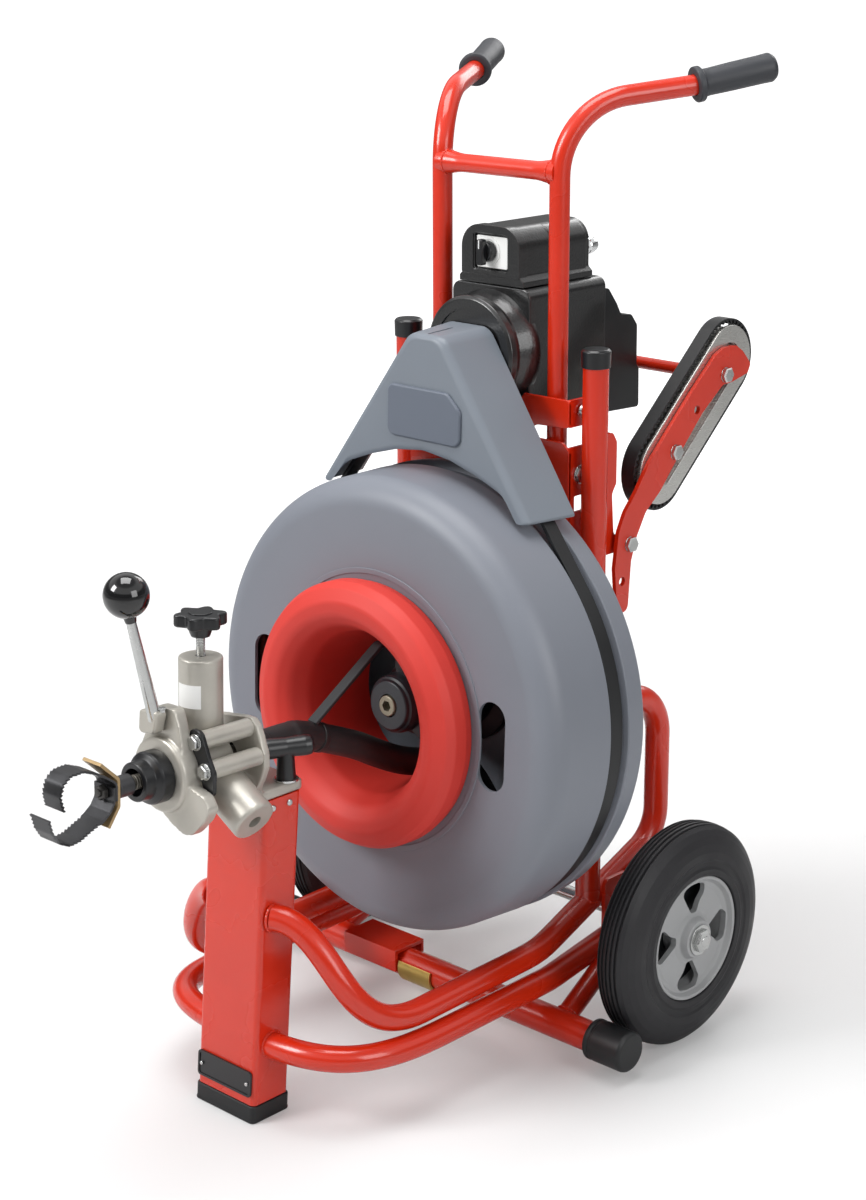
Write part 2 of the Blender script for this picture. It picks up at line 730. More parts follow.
post_cap = [(0, 18), (13.6, 18, 2.5), (16.0, 15.5, 1.5), (15.6, -2, .8), (14.1, -2), (14.1, 0.5),
            (0, 0.5)]
post_end = shift(SIDE_X, POST_Y, POST_TOP) @ turn(PI / 2, "X")
pair("post_top_cap", "frame", "post_cap", [turned(post_cap, 56, post_end, steps=5)],
     "black_moulding")


# Rear cross plate: web, tongue below it, side flanges and hinge bolts
def hinge(x):
    return (x, POST_Y, 633)


def rear_flange(x):
    outline = [(387, 562, 4), (426, 562, 8), (426, 664, 8), (387, 664, 3)]
    return slab(rounded(outline), 4, on_yz(x), 0.6, holes=[rrect(396, 592, 412, 610, 1.5, 3)])


web = [(-117, 562), (-117, 660, 3), (-107, 669, 6), (107, 669, 6), (117, 660, 3), (117, 562)]
tongue = [(-60, 340, 12), (60, 340, 12), (80, 563), (-80, 563)]
piece("rear_plate", "frame", "rear_cross_plate", [
    slab(rounded(web, 5), 4, on_xz(386), 0.6), rear_flange(113), rear_flange(-117),
    slab(rounded(tongue, 5), 4, on_xz(386), 0.6, holes=[circle(0, 382.4, 15.5, 40)]),
    both(rod(hinge(60), hinge(119), 5, finish=ZINC),
         washer(hinge(117.1), hinge(118.4), 10.5, ZINC),
         hexhead(hinge(118.4), hinge(123.4), 15, ZINC),
         hexhead(hinge(70), hinge(62), 15, ZINC))], "red_powder_coat")

# Upper strap with a hollowed top edge and turned-back ends
strap_bottom = [(-117, 716, 4), (-117, 686, 4), (-72, 684, 18), (-50, 672, 10), (50, 672, 10),
                (72, 684, 18), (117, 686, 4), (117, 716, 4)]
hollow = [(-52.6 + 105.2 * i / 24) * DEG for i in range(25)]
hollow = [(68 * math.sin(a), 757 - 68 * math.cos(a)) for a in hollow]
ear = rounded([(386, 686, 3), (418, 686, 6), (418, 697.2), (400.4, 697.2, 4), (400.4, 707.6, 4),
               (418, 707.6), (418, 716, 6), (386, 716, 3)])
piece("upper_strap", "frame", "handle_strap", [
    slab(rounded(strap_bottom, 5) + hollow[::-1], 4, on_xz(385), 0.6),
    *[slab(ear, 4, on_yz(x), 0.6) for x in (113, -117)]], "red_powder_coat")

# ------------------------------------------------------------------ wheels
# Profiles are (radius, y, corner radius), y running outwards along +X
WHEEL = shift(271, AXLE_Y, AXLE_Z) @ turn(-PI / 2, "Z")
tyre = [(71.4, -2), (73, -0.6, .8), (79, 0, 1.0), (82, -1.6, 1.0), (87.5, -2.2, 1.0),
        (90, -0.9, 1.0), (98, -1.2, 6), (107, -3.2, 8), (115, -6.4, 6), (121.5, -10.6, 3),
        (124.4, -13.8, 1.2)]
for rib in (-16.5, -21.9, -27.3, -32.7, -38.1):  # tread ribs on a slight crown
    r = 126.9 - 0.012 * (rib + 27) ** 2
    tyre += [(r, rib + 1.7, .5), (r - 2.4, rib + 0.9, .3), (r - 2.4, rib - 0.9, .3),
             (r, rib - 1.7, .5)]
tyre += [(124.4, -40.6, 1.2), (121.5, -43.4, 3), (115, -47.6, 6), (107, -50.8, 8),
         (98, -52.8, 6), (79, -54, 2), (71.4, -52)]
pair("tyre_ring", "wheel_{}", "tyre", [turned(tyre, 144, WHEEL)], "tyre_black", angle=50)

# Hub with four drop-shaped openings and a dark ring behind them
hub = [(8.4, 2, .5), (21, 2, 1.4), (22.5, -2, 1), (24, -6.5, 3), (30, -8.8, 6), (58, -9.6, 5),
       (64, -8, 2.5), (67, -2.6, 1.6), (70.9, -2, 1.2), (70.9, -52, 1), (63, -52, .5),
       (63, -15.5, 2), (24, -15.5, 2), (22, -56, 1), (8.4, -56)]
drop = rounded([(28.5, -5, 4), (41, -14, 14), (52, -21.5, 8), (61, -15, 7), (62.5, 2, 30),
                (60, 16, 7), (50, 18.5, 10), (40, 9.5, 16), (28.5, 5, 4)])
openings = []
for angle in (5, 95, 185, 275):
    c, s = math.cos(angle * DEG), math.sin(angle * DEG)
    openings.append(plate([(c * x - s * y, s * x + c * y) for x, y in drop], 40, on_xz(-40)))
hub = bevel(cut(turned(hub, 128, steps=4), *openings), 0.7, 2, 50)
dark_ring = lathe([(23, -30), (62.9, -30), (62.9, -32), (23, -32)], finish="drum_dark")
pair("wheel_disc", "wheel_{}", "wheel_hub", [placed(merge(hub, dark_ring), WHEEL)], "wheel_grey")


def axle(x):
    return (x, AXLE_Y, AXLE_Z)


piece("axle_bar", "frame", "wheel_axle", [
    rod(axle(-275), axle(275), 8, edge=1),
    both(washer(axle(273.2), axle(275.2), 17.5),
         hexhead(axle(275.2), axle(281), 23, chamfer=1.8),
         rod(axle(270), axle(282), 6.4, edge=1.6))], ZINC)

# ------------------------------------------------------------------ handle
HANDLE_X, CROSS_Z = 84, 951
GRIP_START, GRIP_END = Vector((156, 535, 1036.5)), Vector((196, 608, 1052))


def locking(x):
    return (x, POST_Y, 703)


handle_path = bent([((HANDLE_X, POST_Y, 624), 0), ((HANDLE_X, POST_Y, 1020), 82),
                    (GRIP_START, 0)], 5) + [GRIP_END]
# Cross tube, flared at both ends: x and radius of its right half, from the middle out
cross = [(52, 9.9), (60, 10.6), (68, 12), (76, 13), (84, 13.4)]
cross = [(-x, r) for x, r in cross[::-1]] + cross
piece("handle_tube", "handle", "handle_frame", [
    both(tube(handle_path, 11, 40), bead((74.2, POST_Y, CROSS_Z), (1, 0, 0), 12.6, 1.4)),
    tube([(x, POST_Y, CROSS_Z) for x, _ in cross], [r for _, r in cross], 40),
    both(rod(locking(64), locking(122.6), 3.8, finish=ZINC),
         hexhead(locking(71), locking(64), 13, ZINC),
         rod(locking(92), locking(112.6), 7, edge=.6, finish=ZINC),
         rod(locking(117.6), locking(123), 7.4, 5.6, edge=1.8, finish=ZINC))],
      "red_powder_coat")

length = (GRIP_END - GRIP_START).length
grip = [(0, length + 8), (12.4, length + 8, 3), (15.6, length + 3, 2.5), (15.2, length - 8, 2),
        (15.0, length * 0.5, 40), (14.4, 16, 8), (14.8, 9.5, 1), (19, 7, 1.5), (19, 1, 1.5),
        (16, 0, .5), (11.6, 0), (11.6, length + 1), (0, length + 1)]
grip = turned(grip, 64, align(GRIP_START, GRIP_END) @ shift(0, 1, 0))
pair("grip_sleeve", "handle", "handle_grip", [grip], "grip_grey")

# ------------------------------------------------------------------ motor
# Square body, round open neck at its front and a seam round the middle
MOTOR_Z = 757
neck = [(0, 0), (58, 0, 3), (61.5, 2.5, 2), (62, 11, 2), (56.5, 14, 2), (56.5, 20, 3),
        (59, 25, 3), (65, 36), (65, 44), (0, 44)]
neck = cut(turned(neck, 120, shift(0, 355, MOTOR_Z), steps=5),
           rod((0, 340, MOTOR_Z), (0, 372, MOTOR_Z), 13),
           rod((0, 340, MOTOR_Z), (0, 357, MOTOR_Z), 48))
piece("motor_body", "frame", "motor_housing", [
    slab(rrect(-56, 676, 56, 826, 11, 8), 128, on_xz(390.6), 1.6, 3, 50), neck,
    slab(rrect(-56.8, 675.2, 56.8, 826.8, 11.6, 8), 3.0, on_xz(452), 0.8, 2, 50,
         [rrect(-52, 680, 52, 822, 9)])], "black_cast")

# Switch box with a bezel, a hood behind and a cable relief at the rear
switch_box = [(-46, 826.8), (46, 826.8), (46, 833, 2), (40.5, 838, 4), (40.5, 889, 26),
              (-40.5, 889, 26), (-40.5, 838, 4), (-46, 833, 2)]
bezel = [(-41.6, 836, 2), (41.6, 836, 2), (41.6, 890, 27), (-41.6, 890, 27)]
hood = [(-42.4, 833, 2), (42.4, 833, 2), (42.4, 888.6, 24), (-42.4, 888.6, 24)]
relief = [(0, 0), (8.6, 0, .6), (9.6, 2, .8), (9.6, 8, 1.2), (7.2, 15, 2), (5.2, 17, 1), (0, 17)]
relief_seat = Vector((30, 512, 858))
piece("switch_box", "frame", "switch_housing", [
    bevel(cut(plate(rounded(switch_box, 12), 116, on_xz(391)),
              plate(rrect(-24, 842, 24, 880, 3, 4), 7.5, on_xz(388))), 0.9, 3, 40),
    slab(rounded(bezel, 12), 13, on_xz(389.6), 1.6, 4, 40,
         [rrect(-25.2, 840.8, 25.2, 881.2, 3.6, 4)]),
    slab(rounded(hood, 12), 58, on_xz(443), 4.5, 5, 40),
    hexhead((30, 506, 858), relief_seat, 20, "chrome_bright", 1.2),
    turned(relief, 40, align(relief_seat, Vector((30, 530, 858))), "chrome_bright")],
      "black_cast")


def switch(y):
    return (-4, y, 862)


piece("switch_face", "frame", "switch_plate", [
    slab(rrect(-22, 844, 22, 878, 2, 4), 1.6, on_xz(392.8), 0.4, 2, 50,
         [circle(-4, 862, 5, 32)]),
    slab(circle(-4, 862, 15.6, 64), 1.2, on_xz(391.8), 0.3, 2, 50,
         [circle(-4, 862, 12.4, 64)])], "white_moulding")
knob_bar = rounded([(-8.4, 848, 3), (0.4, 848, 3), (0.4, 876, 3), (-8.4, 876, 3)], 5)
piece("rotary_switch", "switch", "switch_knob", [
    rod(switch(392.2), switch(383), 11.6, 10.6, sides=56, edge=1.6),
    slab(knob_bar, 8, on_xz(376), 1.2, 3, 40),
    bevel(box((-4.6, 375.2, 866), (-3.4, 376.4, 875), "white_moulding"), 0.2, 1),
    rod(switch(394.6), switch(392), 4.4)], "black_moulding")

# Rear cover with rows of vent grooves
rear_cover = [  # y, z, corner radius
    (519.2, 672, 2), (586, 669, 4), (585, 714, 4), (581, 719, 3), (580.5, 764, 7), (570, 777, 6),
    (551, 780, 5), (544, 792, 6), (529, 811, 6), (519.2, 813, 1)]
rear_cover = cut(
    slab(rounded(rear_cover), 104, on_yz(-52), 3.4, 5, 40),
    *[box((-38, 576, z), (38, 592, z + 3.4)) for z in (682, 691, 700, 709, 726, 735, 744, 753)])
piece("motor_end_cover", "frame", "motor_rear_cover", [
    rear_cover, *[rod((x, 584.4, 680), (x, 587, 680), 4, edge=.8, finish=ZINC)
                  for x in (20, -20)]], "black_moulding")

# ------------------------------------------------------------------ drive
# From here to the cutter everything is in the drum frame
PULLEY_Z = 372
pulley = [(6.4, -14), (23, -14, .6), (23, -12.5, .4), (19.2, -12, .5), (19.2, 9, .5),
          (23, 9.5, .4), (23, 12, .6), (14, 12, 1), (14, 20, 1), (6.4, 20)]
tilted("pulley_wheel", "pulley", "drive_pulley", [
    turned(pulley, 80, shift(0, 0, PULLEY_Z)),
    rod((0, -16, PULLEY_Z), (0, 40, PULLEY_Z), 6.6, edge=.6, finish=ZINC)], "steel_wire")


def belt_loop(drum_r, pulley_r):
    """Outline of a belt round the drum and the pulley."""
    wrap = math.acos((drum_r - pulley_r) / PULLEY_Z)
    points = []
    for i in range(121):
        a = PI / 2 - wrap - (2 * PI - 2 * wrap) * i / 120
        points.append((drum_r * math.cos(a), drum_r * math.sin(a)))
    for i in range(25):
        a = PI / 2 + wrap - 2 * wrap * i / 24
        points.append((pulley_r * math.cos(a), PULLEY_Z + pulley_r * math.sin(a)))
    return points


tilted("belt_loop", "frame", "drive_belt", [
    slab(belt_loop(251.8, 25.2), 19, on_xz(-11), 0.8, 2, 50, [belt_loop(247.2, 20.6)])],
       "rubber_black")

GUARD_WALL = 3.2


def guard_outer(grow):
    """Belt guard outline (x, z): narrow top, bottom edge arched over the drum."""
    foot, heel = 153.5 + grow, 143 + grow * .7
    top_x, top_z = 25 + grow * .9, 400 + grow * .7
    return rounded([
        (-foot, 219, 4), (-top_x, top_z, 22), (top_x, top_z, 22), (foot, 219, 4),
        (heel, 220, 5), (112, 244 - grow, 30), (78, 257 - grow, 30), (40, 268 - grow, 30),
        (0, 273 - grow, 30), (-40, 268 - grow, 30), (-78, 257 - grow, 30),
        (-112, 244 - grow, 30), (-heel, 220, 5)], 8)


def guard_inner(grow):
    foot, top_x, top_z = 194.5 + grow, 25 + grow * .9, 400 + grow * .7
    return rounded([(-foot, 160), (-top_x, top_z, 18), (top_x, top_z, 18), (foot, 160)], 8)


guard_sections = [  # growth, y: rounded front edge, then the flared side wall
    (-9, -39), (-5.2, -38.2), (-2.4, -36.2), (-0.6, -33.2), (0.3, -29.5), (7, 30)]
guard = cut(
    loft(*[(guard_outer(grow), y) for grow, y in guard_sections]),
    loft((guard_inner(-3 - GUARD_WALL), -36.4), (guard_inner(7.6 - GUARD_WALL), 36)),
    box((-1.4, -31, 398.6), (1.4, 6, 412)))
panel = [(-49, 343, 9), (38, 343, 10), (57, 326, 12), (57, 287, 10), (-49, 287, 10)]
panel = paint(slab(rounded(panel, 8), 5, on_xz(-42.6), 2.6, 5, 50), "guard_panel")
tilted("belt_cover", "frame", "belt_guard", [guard, panel], "guard_grey", angle=30)

# ------------------------------------------------------------------ drum
# Profiles are (radius, y, corner radius)


def radial(outline, angle, y, thick, edge, segments=2, limit=32):
    """Slab facing the drum axis direction, turned by angle degrees about it."""
    return slab(outline, thick, turn(-angle * DEG, "Y") @ on_xz(y), edge, segments, limit)


# Front shell with two curved-end slots and a raised band
front = [(142, -105.4), (160, -106, 6), (251, -106, 31), (254.5, -14, 1.5), (246, -13, 1),
         (246, -.3), (242, -.3), (242, -16, 1), (250.5, -19, 2), (247, -102, 27), (142, -101.4)]
slots = [plate(stadium(170 * math.cos(a * DEG), 170 * math.sin(a * DEG), a + 90, 30, 18.5, 18),
               30, on_xz(-116)) for a in (0, 180)]
band = [(150, -105), (150, -106.9, .6), (156, -106.9, .6), (156, -105)]
tilted("drum_front", "drum", "drum_front_shell", [
    bevel(cut(turned(front, 192, steps=14), *slots), 1.2, 3, 50), turned(band, 192)],
       "drum_grey", angle=40)

# Rear shell with eight ribs and a centre ring
back = [(246, .3), (246, 12, 1), (255.5, 14, 2), (253.5, 40, 6), (246, 48, 6), (232, 52, 8),
        (48, 54), (48, 49), (230, 47, 6), (241, 43, 5), (248, 36, 4), (242, 16, 1), (242, .3)]
back_rib = [(66, -5), (222, -7), (222, 7), (66, 5)]
tilted("drum_back", "drum", "drum_back_shell", [
    turned(back, 192, steps=6),
    *[radial(back_rib, a, 52, 3.4, 1.2, 3, 50) for a in range(0, 360, 45)],
    turned([(60, 50), (60, 58.4, 2), (74, 58.0, 2), (76, 50)], 120)], "drum_grey", angle=40)

mouth = [(143, -106.4), (146.6, -118, 8), (146.4, -134, 8), (141, -143.5, 6), (126, -150.6, 12),
         (112, -149, 18), (99, -138, 24), (89.5, -117, 28), (82.5, -30, .8), (85.5, -30, .8),
         (91.5, -106.4, 1)]
tilted("mouth_ring", "drum", "inlet_ring", [turned(mouth, 160, steps=10)], "red_moulding",
       angle=50)

# Cable wound in two layers against the drum wall
OUTER_TURNS = 4.9
coil = []
for radius, y0, y1, turns, start in ((229, -65, 15, OUTER_TURNS, 0),
                                     (214, 8, -58, 4.1, 2 * PI * OUTER_TURNS)):
    count = int(turns * 120)
    for i in range(count + 1):
        a = (2 * PI * turns * i / count) + start
        coil.append((radius * math.cos(a), y0 + (y1 - y0) * i / count, radius * math.sin(a)))
tilted("wound_cable", "drum", "cable_coil", [tube(coil, 8.2, 12)], "steel_wire")

# Drum hub with two tabs and radial ribs
centre = [(13, -84), (27, -84, 2), (28.5, -80, 1), (31, -79, 1), (32.5, -74, 2), (34, -50, 2),
          (36, -48, 1), (40, -46, 2), (44, -30, 3), (46, 38, 2), (66, 42, 2), (66, 48),
          (47, 48), (47, 56), (13, 56)]
tab = rounded([(53, -8, 5), (53, 8, 5), (24, 12), (24, -12)], 5)
hub_rib = [(30, -2), (48, -2), (48, 2), (30, 2)]
tilted("drum_centre", "drum", "drum_hub", [
    turned(centre, steps=4), *[radial(tab, a, -66, 14, 1.2, 3, 50) for a in (84, -38)],
    *[radial(hub_rib, a, -22, 60, 0.6) for a in range(20, 360, 40)]], "hub_core")
# Spindle with a hexagon socket in front and a collar behind
tilted("spindle_pin", "frame", "drum_spindle", [
    cut(rod((0, -86.6, 0), (0, 72, 0), 11.6, sides=56, edge=1.6),
        rod((0, -96, 0), (0, -74, 0), 6.4, sides=6)),
    bevel(rod((0, 57.5, 0), (0, 72.4, 0), 22, sides=56), 1, 2, 50)], "spindle_steel")

# Guide arm and hose that carry the cable from the drum to the mouth
arm_path = bent([((4, -70, 38), 0), ((14, -78, 70), 10), ((10, -108, 78), 12),
                 ((1.5, -199, 7), 0)], 8)
tilted("guide_arm", "drum", "guide_bail", [bevel(ribbon(arm_path, 13, 4.6), 1.0, 3, 50)],
       "drum_dark")
hose = smooth_path([
    (0, -300, 0), (0, -262, 0), (0, -232, 0), (0, -212, -4), (1, -187, -12), (4, -160, -22),
    (8, -138, -31), (13, -111, -45), (20, -84, -57), (28, -56, -63), (34, -34, -62),
    (40, -12, -72), (50, 4, -94), (66, 12, -126), (82, 8, -156)])
hose_band = shift(0.6, -190, -11) @ turn(-0.34, "X") @ shift(0, 194, 0)
tilted("guide_tube", "drum", "guide_hose", [
    tube(hose, [15.4 if p.y > -230 else 14.6 for p in hose], 40),
    turned([(10, -301), (15.6, -301, 1.5), (15.6, -268, 1.5), (10, -268)], 56),
    turned([(14, -198), (16.4, -198, 1), (16.4, -190, 1), (14, -190)], 48, hose_band)],
       "rubber_black", angle=45)

# ------------------------------------------------------------------ cable feeder
SCREW_Y = -352  # axis of the upright feed screw
ROLLER_Y = -349
ROLLER_REACH = 20.6  # roller centres from the cable axis


def on_screw(z):
    return (0, SCREW_Y, z)


def at_roller(x, z):
    return (x, ROLLER_Y, z)


body_plate = [  # x, z, corner radius
    (-24, 42, 5), (-22, 60, 7), (-8, 69, 6), (17, 70, 6), (23, 54, 12), (30, 22, 12),
    (36, -4, 9), (60, -10, 10), (68, -22, 8), (60, -36, 8), (42, -54, 10), (30, -57, 10),
    (12, -50, 9), (-8, -38, 10), (-30, -24, 10), (-38, 0, 12), (-33, 24, 10)]
body = cast(merge(
    plate(rounded(body_plate), 14, on_xz(-402)),
    turned([(0, -408), (39, -408, 3), (39, -400), (37, -372), (30, -332, 3), (0, -332)], 72,
           steps=4),
    rod(on_screw(10), on_screw(112), 22.5, sides=56, edge=2),
    rod(at_roller(10, -6), at_roller(76.2, -44), 23.5, sides=56, edge=2),
    rod(at_roller(-10, -6), at_roller(-39, -22.5), 19, sides=48, edge=2)), 5)
body = cut(body, rod((0, -420, 0), (0, -300, 0), 19.4), rod(on_screw(30), on_screw(97), 15.6),
           rod(on_screw(90), on_screw(120), 5.4), rod((-14, -408, 55), (-14, -393, 55), 7),
           rod(at_roller(0, 0), at_roller(58.9, -34), 15.8),
           rod(at_roller(50, -28.9), at_roller(90, -52), 7.2))


def label():
    """Thin white label curved round the front of the screw housing."""
    rows = []
    for grow in (0, 0.3):
        for z in (63, 87):
            for angle in range(250, 320, 3):
                c, s = math.cos(angle * DEG), math.sin(angle * DEG)
                p = Vector((22.95 * c, SCREW_Y + 22.95 * s, z))
                rows.append(p + (p - Vector(on_screw(z))).normalized() * grow)
    n = len(rows) // 4
    faces = []
    for a, b in ((0, 1), (2, 3), (0, 2), (1, 3)):
        faces += [(a * n + i, a * n + i + 1, b * n + i + 1, b * n + i) for i in range(n - 1)]
    faces += [(0, n, 3 * n, 2 * n), (n - 1, 3 * n - 1, 4 * n - 1, 2 * n - 1)]
    return outward(Geo(rows, faces, "white_moulding"))


def roller_fork(side, reach, r):
    """Pin, two cheeks and round stem that hold a lower roller."""
    fork = merge(rod((0, -9.5, ROLLER_REACH), (0, 9.5, ROLLER_REACH), 3, finish=ZINC),
                 bevel(box((-9, 8.0, 19), (9, 12.4, reach - 2)), 1),
                 bevel(box((-9, -12.4, 19), (9, -8.0, reach - 2)), 1),
                 rod((0, 0, reach - 12), (0, 0, reach), r, edge=1))
    return placed(fork, shift(0, ROLLER_Y, 0) @ swing((0, 0, 1), (side * 0.866, 0, -0.5)))


tilted("feeder_casting", "frame", "feeder_body",
       [body, label(), roller_fork(1, 60, 15.4), roller_fork(-1, 40, 14.6)],
       "cast_alloy", angle=45)


def tie_bar(x, z):
    return merge(rod((x, -382, z), (x, -317.6, z), 9.5, sides=48, edge=1, finish="cast_alloy"),
                 rod((x, -388, z), (x, -381, z), 4.2),
                 washer((x, -387.1, z), (x, -388.4, z), 8.6, ZINC),
                 hexhead((x, -388.4, z), (x, -393, z), 13, ZINC))


link = [(22, 34, 4), (22, 50, 8), (39, 49, 9), (50, 24, 9), (58, 10, 8), (57, -14, 7),
        (45, -17, 5), (34, 12, 12)]
tilted("tie_bars", "frame", "feeder_link", [
    slab(rounded(link), 5, on_xz(-387), 0.8, 3, 50), tie_bar(32, 37), tie_bar(46, 10)],
       "black_moulding")

# Casting that seats the feeder on top of the column; only its upright part is tilted
mount_plate = circle(0, 0, 43, 48)[12:25] + [
    (-43, -30), (43, -30), (50, -16), (55.5, -2), (55.5, 14), (44, 40), (36, 47), (24, 47)]
mount = cast(merge(
    placed(merge(plate(mount_plate, 9, on_xz(-318)),
                 turned([(0, -311), (27, -311), (24, -293, 2), (0, -293)], 64, steps=4)), TILT),
    box((-43, -6.5, 352.2), (43, 3, 372)),
    plate(rrect(-43, -4, 43, 60, 7), 10.4, on_xy(352))), 4)
mount = cut(mount, placed(rod((0, -330, 0), (0, -260, 0), 17), TILT),
            rod((33, 44, 340), (33, 44, 372), 6.6), box((-60, -30, 330), (60, 80, 352.1)))
piece("feeder_bracket", "frame", "feeder_mount", [mount], "cast_alloy", angle=45)


# Upright clamp screw with a barrel-shaped cross handle, outside the drum frame
def clamp(z):
    return (33, 44, z)


barrel = [(0, -29), (10, -29, 5), (10.8, -20, 6), (10, 0, 10), (10.8, 20, 6), (10, 29, 5),
          (0, 29)]
barrel_axis = (math.cos(62 * DEG), math.sin(62 * DEG), 0)
piece("clamp_tee", "clamp", "clamp_handle", [
    rod(clamp(344), clamp(392), 5.6, finish=ZINC),
    rod(clamp(364), clamp(397), 10.2, 8.6, edge=1.5),
    rod(clamp(362.6), clamp(365), 13, edge=.6, finish=ZINC),
    turned(barrel, 40, shift(*clamp(398)) @ swing((0, 1, 0), barrel_axis), steps=5)],
      "black_moulding")

# Plunger with its two cheeks, the threaded screw and the star knob on top
tilted("plunger_block", "plunger", "feed_plunger", [
    cut(rod(on_screw(40), on_screw(78), 15, edge=1), rod(on_screw(70), on_screw(80), 5.2)),
    bevel(box((-10, ROLLER_Y - 12, 16), (10, ROLLER_Y - 8, 42)), 1),
    bevel(box((-10, ROLLER_Y + 8, 16), (10, ROLLER_Y + 11.4, 42)), 1),
    rod((0, ROLLER_Y - 9.5, 25.8), (0, ROLLER_Y + 9.5, 25.8), 3)], ZINC)
THREAD_R, THREAD_PITCH = 4.0, 1.6
thread = []
for i in range(16 * 30):
    a = i * 2 * PI / 16
    thread.append((THREAD_R * math.cos(a), SCREW_Y + THREAD_R * math.sin(a),
                   88 + i * THREAD_PITCH / 16))
tilted("screw_shaft", "screw", "feed_screw", [
    rod(on_screw(70.6), on_screw(139), THREAD_R, sides=32),
    rod(on_screw(78.4), on_screw(86), 9, edge=.8), tube(thread, 0.7, 6)], ZINC)
star = []
for i in range(144):
    a = i * 2.5 * DEG
    r = 23.2 + 3.6 * math.cos(6 * a)
    star.append((r * math.cos(a), r * math.sin(a)))
tilted("star_grip", "screw", "star_knob", [
    slab(star, 13, shift(*on_screw(143)), 2.6, 4, 50),
    rod(on_screw(132), on_screw(144), 9.5, 14, sides=48, edge=1),
    rod(on_screw(155.6), on_screw(157.2), 12, sides=48, edge=1),
    rod(on_screw(139), on_screw(141), 6, finish=ZINC)], "black_moulding")

# One roller above the cable, two below
roller = [(3.7, -7), (11, -7, .8), (12, -6, .6), (11.2, -2.4, 1), (10.9, 0, 2), (11.2, 2.4, 1),
          (12, 6, .6), (11, 7, .8), (3.7, 7)]
low_x, low_z = ROLLER_REACH * .866, -ROLLER_REACH * .5
for name, ride_body, node, x, z in (
        ("roller_upper", "roller_top", "upper_roller", 0, ROLLER_REACH + 5.2),
        ("roller_low_right", "roller_right", "lower_roller_right", low_x, low_z),
        ("roller_low_left", "roller_left", "lower_roller_left", -low_x, low_z)):
    roller_place = TILT @ shift(*at_roller(x, z))
    piece(name, ride_body, node, [turned(roller, 56, roller_place)], ZINC)

# Lever with a ball on its end
BALL_R = 22.8
ball = [(BALL_R * math.sin(PI * i / 32), -BALL_R * math.cos(PI * i / 32)) for i in range(33)]
lever_foot = rounded([(-20, 42, 5), (3, 44, 7), (10, 69, 4), (-18, 66, 4)], 5)
lever_tip = (-9, -434.8, 168)
tilted("lever_arm", "lever", "feed_lever", [
    slab(lever_foot, 14, on_xz(-417), 2.4, 4, 50),
    rod((-0.5, -411, 58), lever_tip, 6.9, 4.8, edge=.4, finish=ZINC),
    rod((-14, -404, 55), (-14, -396, 55), 6),
    hexhead((5, -407, 66.8), (5, -407, 71), 8, ZINC),
    rod((-8.6, -433, 160), lever_tip, 5.6, 7.0, sides=32, edge=.6, finish="ball_black"),
    lathe(ball, 64, shift(-9, -438, 187.6), "ball_black", loop=False)], "cast_alloy", angle=40)

nozzle = [(14, -440, .8), (20, -440, 1.6), (20.5, -427, 1.5), (25.5, -424.5, 1.5),
          (27, -422, 1.2), (27, -408.5, .8), (18.5, -408.5, .5), (18.5, -392), (9.6, -392),
          (9.6, -412, 1), (14, -424, 2)]
tilted("nozzle", "frame", "front_nozzle", [turned(nozzle, 72, steps=5)], "black_moulding")

# ------------------------------------------------------------------ cable and cutter
CABLE_Y0, CABLE_Y1 = -457, -268
COILS, PER_COIL = 66, 22
wire = []
for i in range(COILS * PER_COIL + 1):
    a = 2 * PI * i / PER_COIL
    y = CABLE_Y0 + (CABLE_Y1 - CABLE_Y0) * i / (COILS * PER_COIL)
    wire.append((6.55 * math.cos(a), y, 6.55 * math.sin(a)))
tilted("spring_cable", "cable", "drain_cable", [
    tube(wire, 1.42, 8), rod((0, CABLE_Y0, 0), (0, CABLE_Y1, 0), 5.4, sides=24)],
       "steel_wire", weighted=False)

socket = [(0, -466.6), (8, -466.6, 1), (11, -463, 1.5), (11, -446, 2), (8.6, -444, .5),
          (8.6, -458.5), (0, -458.5)]
tilted("cutter_socket", "cable", "cutter_coupling", [
    turned(socket, 56), rod((0, -479, 0), (0, -464, 0), 4),
    hexhead((0, -477.1, 0), (0, -483.2, 0), 14, "dark_bolt", 1.4),
    rod((0, -482, 0), (0, -485.6, 0), 4, edge=.8, finish="dark_bolt")], "blade_steel")


def strip_normal(points, i):
    """Unit normal of a (y, z, ...) centre line at point i."""
    p, q = points[max(i - 1, 0)], points[min(i + 1, len(points) - 1)]
    along = Vector((q[0] - p[0], q[1] - p[1])).normalized()
    return Vector((-along.y, along.x))


def strip(points, thick, width):
    """Bent strip from a (y, z) centre line, centred on x = 0."""
    upper, lower = [], []
    for i, (y, z) in enumerate(points):
        normal = strip_normal(points, i)
        upper.append((y + normal.x * thick / 2, z + normal.y * thick / 2))
        lower.append((y - normal.x * thick / 2, z - normal.y * thick / 2))
    return plate(upper + lower[::-1], width, on_yz(-width / 2))


